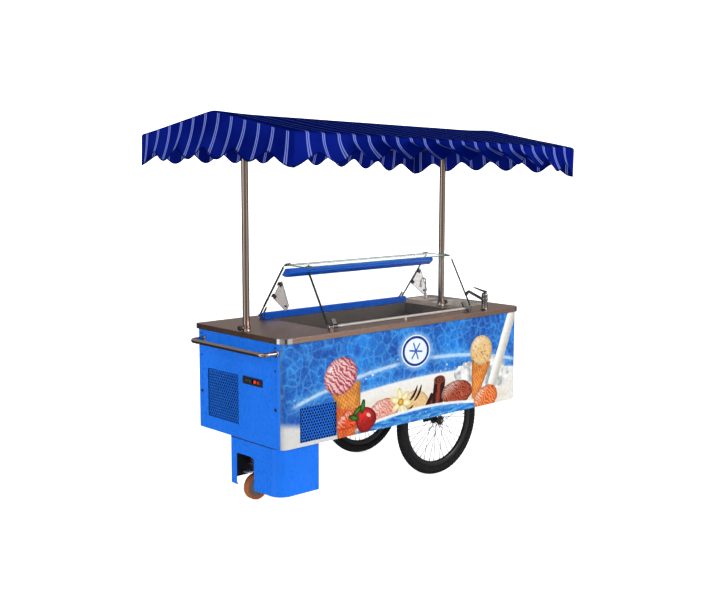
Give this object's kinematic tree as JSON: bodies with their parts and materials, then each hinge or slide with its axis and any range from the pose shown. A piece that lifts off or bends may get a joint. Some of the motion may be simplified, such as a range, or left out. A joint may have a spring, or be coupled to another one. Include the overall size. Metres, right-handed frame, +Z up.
{
  "type": "ice cream dipping cabinet",
  "caption": "Wheeled ice cream dipping cabinet with insulated well, folding glass sneeze guard, hand basin, taps and a striped canopy on two posts.",
  "frame": {"origin": "on the ground, under the middle of the whole footprint (canopy and handle included)", "axes": "+Z up, +X along the cabinet towards the hand basin and away from the push handle, -Y towards the customer"},
  "size_m": [2.3756, 1.526, 2.1545],
  "materials": {
    "zinc": "zinc plated, dull",
    "zinc_bright": "bright zinc plated steel",
    "black_metal": "black powder coat",
    "spoke_steel": "polished spoke steel",
    "tyre": "black rubber, fine tread",
    "caster_tread": "orange-brown polyurethane tread on a grey core",
    "blue_paint": "bright blue gloss paint",
    "printed_wrap": "printed film with rippled water, cream wave and ice cream motifs",
    "rail_blue": "blue satin paint",
    "tube_steel": "polished stainless tube",
    "counter_steel": "brushed stainless sheet",
    "liner_steel": "satin stainless, pressed",
    "chrome": "polished chrome",
    "foam": "foamed insulation in a plain jacket",
    "glass": "clear safety glass with dark green edges",
    "clear_plate": "clear acrylic plate",
    "black_plastic": "black moulded plastic",
    "key_plastic": "dark grey rubberised key",
    "red_plastic": "red translucent rocker",
    "canopy_cloth": "royal blue acrylic cloth with paired lavender stripes",
    "fin_aluminium": "aluminium fins",
    "white_plastic": "blow-moulded white plastic"
  },
  "bodies": {
    "cabinet": {"chassis_frame": "zinc", "base_pan": "zinc", "axle": "black_metal", "caster_leg": "zinc", "caster_skirt": "blue_paint", "left_end_panel": "blue_paint", "front_wrap_panel": "printed_wrap", "right_end_panel": "blue_paint", "back_panel": "blue_paint", "left_vent_grille": "blue_paint", "front_vent_grille": "blue_paint", "push_handle": "tube_steel", "control_plate": "black_plastic", "countertop": "counter_steel", "well_liner": "liner_steel", "tank_insulation": "foam", "hand_basin": "liner_steel", "dipper_well": "liner_steel", "mixer_body": "chrome", "tap_body": "chrome", "front_glass_rod": "chrome", "rear_glass_rail": "rail_blue", "left_post_socket": "tube_steel", "right_post_socket": "tube_steel", "compressor": "black_metal", "condenser": "fin_aluminium", "fan_shroud": "zinc", "fresh_water_can": "white_plastic", "waste_water_can": "white_plastic"},
    "near_wheel": {"tyre_near": "tyre", "rim_near": "black_metal", "spoked_hub_near": "spoke_steel"},
    "far_wheel": {"tyre_far": "tyre", "rim_far": "black_metal", "spoked_hub_far": "spoke_steel"},
    "caster": {"caster_fork": "zinc_bright"},
    "caster_roller": {"caster_wheel": "caster_tread"},
    "caster_brake": {"brake_pedal": "zinc_bright"},
    "door": {"service_door": "blue_paint"},
    "latch": {"door_latch": "chrome"},
    "key_mode": {"mode_key": "key_plastic"},
    "key_set": {"set_key": "key_plastic"},
    "switch": {"power_switch": "red_plastic"},
    "spout": {"mixer_spout": "chrome"},
    "cap": {"mixer_cap": "chrome"},
    "lever": {"mixer_lever": "chrome"},
    "swan_neck": {"gooseneck": "chrome"},
    "front_pane": {"front_glass": "glass"},
    "rear_pane": {"rear_glass": "glass", "stay_plate_left": "clear_plate", "stay_plate_right": "clear_plate", "lamp_rail": "rail_blue"},
    "top_pane": {"top_glass": "glass"},
    "knob_left": {"left_knob": "black_plastic"},
    "knob_right": {"right_knob": "black_plastic"},
    "canopy": {"left_post": "tube_steel", "right_post": "tube_steel", "canopy_frame": "tube_steel", "canopy_cover": "canopy_cloth"},
    "fan": {"condenser_fan": "black_plastic"}
  },
  "joints": [
    {"name": "near_wheel_spin", "type": "hinge", "parent": "cabinet", "child": "near_wheel", "pos_m": [0.31676, -0.303, 0.335], "axis": [0, 1, 0], "continuous": true},
    {"name": "far_wheel_spin", "type": "hinge", "parent": "cabinet", "child": "far_wheel", "pos_m": [0.31676, 0.363, 0.335], "axis": [0, 1, 0], "continuous": true},
    {"name": "caster_swivel", "type": "hinge", "parent": "cabinet", "child": "caster", "pos_m": [-0.77824, 0.03, 0.19], "axis": [0, 0, 1], "continuous": true},
    {"name": "caster_spin", "type": "hinge", "parent": "caster", "child": "caster_roller", "pos_m": [-0.81324, 0.03, 0.075], "axis": [0, 1, 0], "continuous": true},
    {"name": "caster_brake_press", "type": "hinge", "parent": "caster", "child": "caster_brake", "pos_m": [-0.82224, 0.03, 0.168], "axis": [0, 1, 0], "range_deg": [-14, 0]},
    {"name": "service_door_swing", "type": "hinge", "parent": "cabinet", "child": "door", "pos_m": [0.98276, 0.414, 0.6], "axis": [0, 0, 1], "range_deg": [-120, 0]},
    {"name": "door_latch_turn", "type": "hinge", "parent": "door", "child": "latch", "pos_m": [0.72076, 0.41, 0.62], "axis": [0, 1, 0], "range_deg": [-90, 0]},
    {"name": "mode_key_press", "type": "slide", "parent": "cabinet", "child": "key_mode", "axis": [1, 0, 0], "range_m": [0, 0.0012], "stiffness_N_per_m": 400},
    {"name": "set_key_press", "type": "slide", "parent": "cabinet", "child": "key_set", "axis": [1, 0, 0], "range_m": [0, 0.0012], "stiffness_N_per_m": 400},
    {"name": "power_switch_rock", "type": "hinge", "parent": "cabinet", "child": "switch", "pos_m": [-0.92524, -0.148, 0.71], "axis": [0, 0, 1], "range_deg": [-9, 9]},
    {"name": "mixer_spout_swivel", "type": "hinge", "parent": "cabinet", "child": "spout", "pos_m": [0.72976, -0.31, 1.036], "axis": [0, 0, 1], "range_deg": [-60, 35]},
    {"name": "mixer_temperature_turn", "type": "hinge", "parent": "cabinet", "child": "cap", "pos_m": [0.72976, -0.31, 1.06], "axis": [0, 0, 1], "range_deg": [-45, 45]},
    {"name": "mixer_lever_lift", "type": "hinge", "parent": "cap", "child": "lever", "pos_m": [0.72684, -0.32369, 1.084], "axis": [0.978, -0.2085, 0], "range_deg": [0, 24]},
    {"name": "gooseneck_swivel", "type": "hinge", "parent": "cabinet", "child": "swan_neck", "pos_m": [0.92176, 0.382, 1], "axis": [0, 0, 1], "range_deg": [-90, 90]},
    {"name": "front_glass_tilt", "type": "hinge", "parent": "cabinet", "child": "front_pane", "pos_m": [0.04376, -0.292, 0.993], "axis": [1, 0, 0], "range_deg": [0, 115]},
    {"name": "rear_glass_tilt", "type": "hinge", "parent": "cabinet", "child": "rear_pane", "pos_m": [0.04376, 0.322, 0.993], "axis": [1, 0, 0], "range_deg": [-60, 0]},
    {"name": "top_glass_lift", "type": "hinge", "parent": "rear_pane", "child": "top_pane", "pos_m": [0.04376, 0.09, 1.307], "axis": [1, 0, 0], "range_deg": [-100, 0]},
    {"name": "left_knob_turn", "type": "hinge", "parent": "cabinet", "child": "knob_left", "pos_m": [-0.93124, -0.008, 0.994], "axis": [1, 0, 0], "continuous": true},
    {"name": "right_knob_turn", "type": "hinge", "parent": "cabinet", "child": "knob_right", "pos_m": [0.68876, -0.008, 0.994], "axis": [1, 0, 0], "continuous": true},
    {"name": "canopy_height", "type": "slide", "parent": "cabinet", "child": "canopy", "axis": [0, 0, 1], "range_m": [-0.35, 0]},
    {"name": "condenser_fan_spin", "type": "hinge", "parent": "cabinet", "child": "fan", "pos_m": [-0.67124, -0.246, 0.5], "axis": [0, 1, 0], "continuous": true}
  ]
}
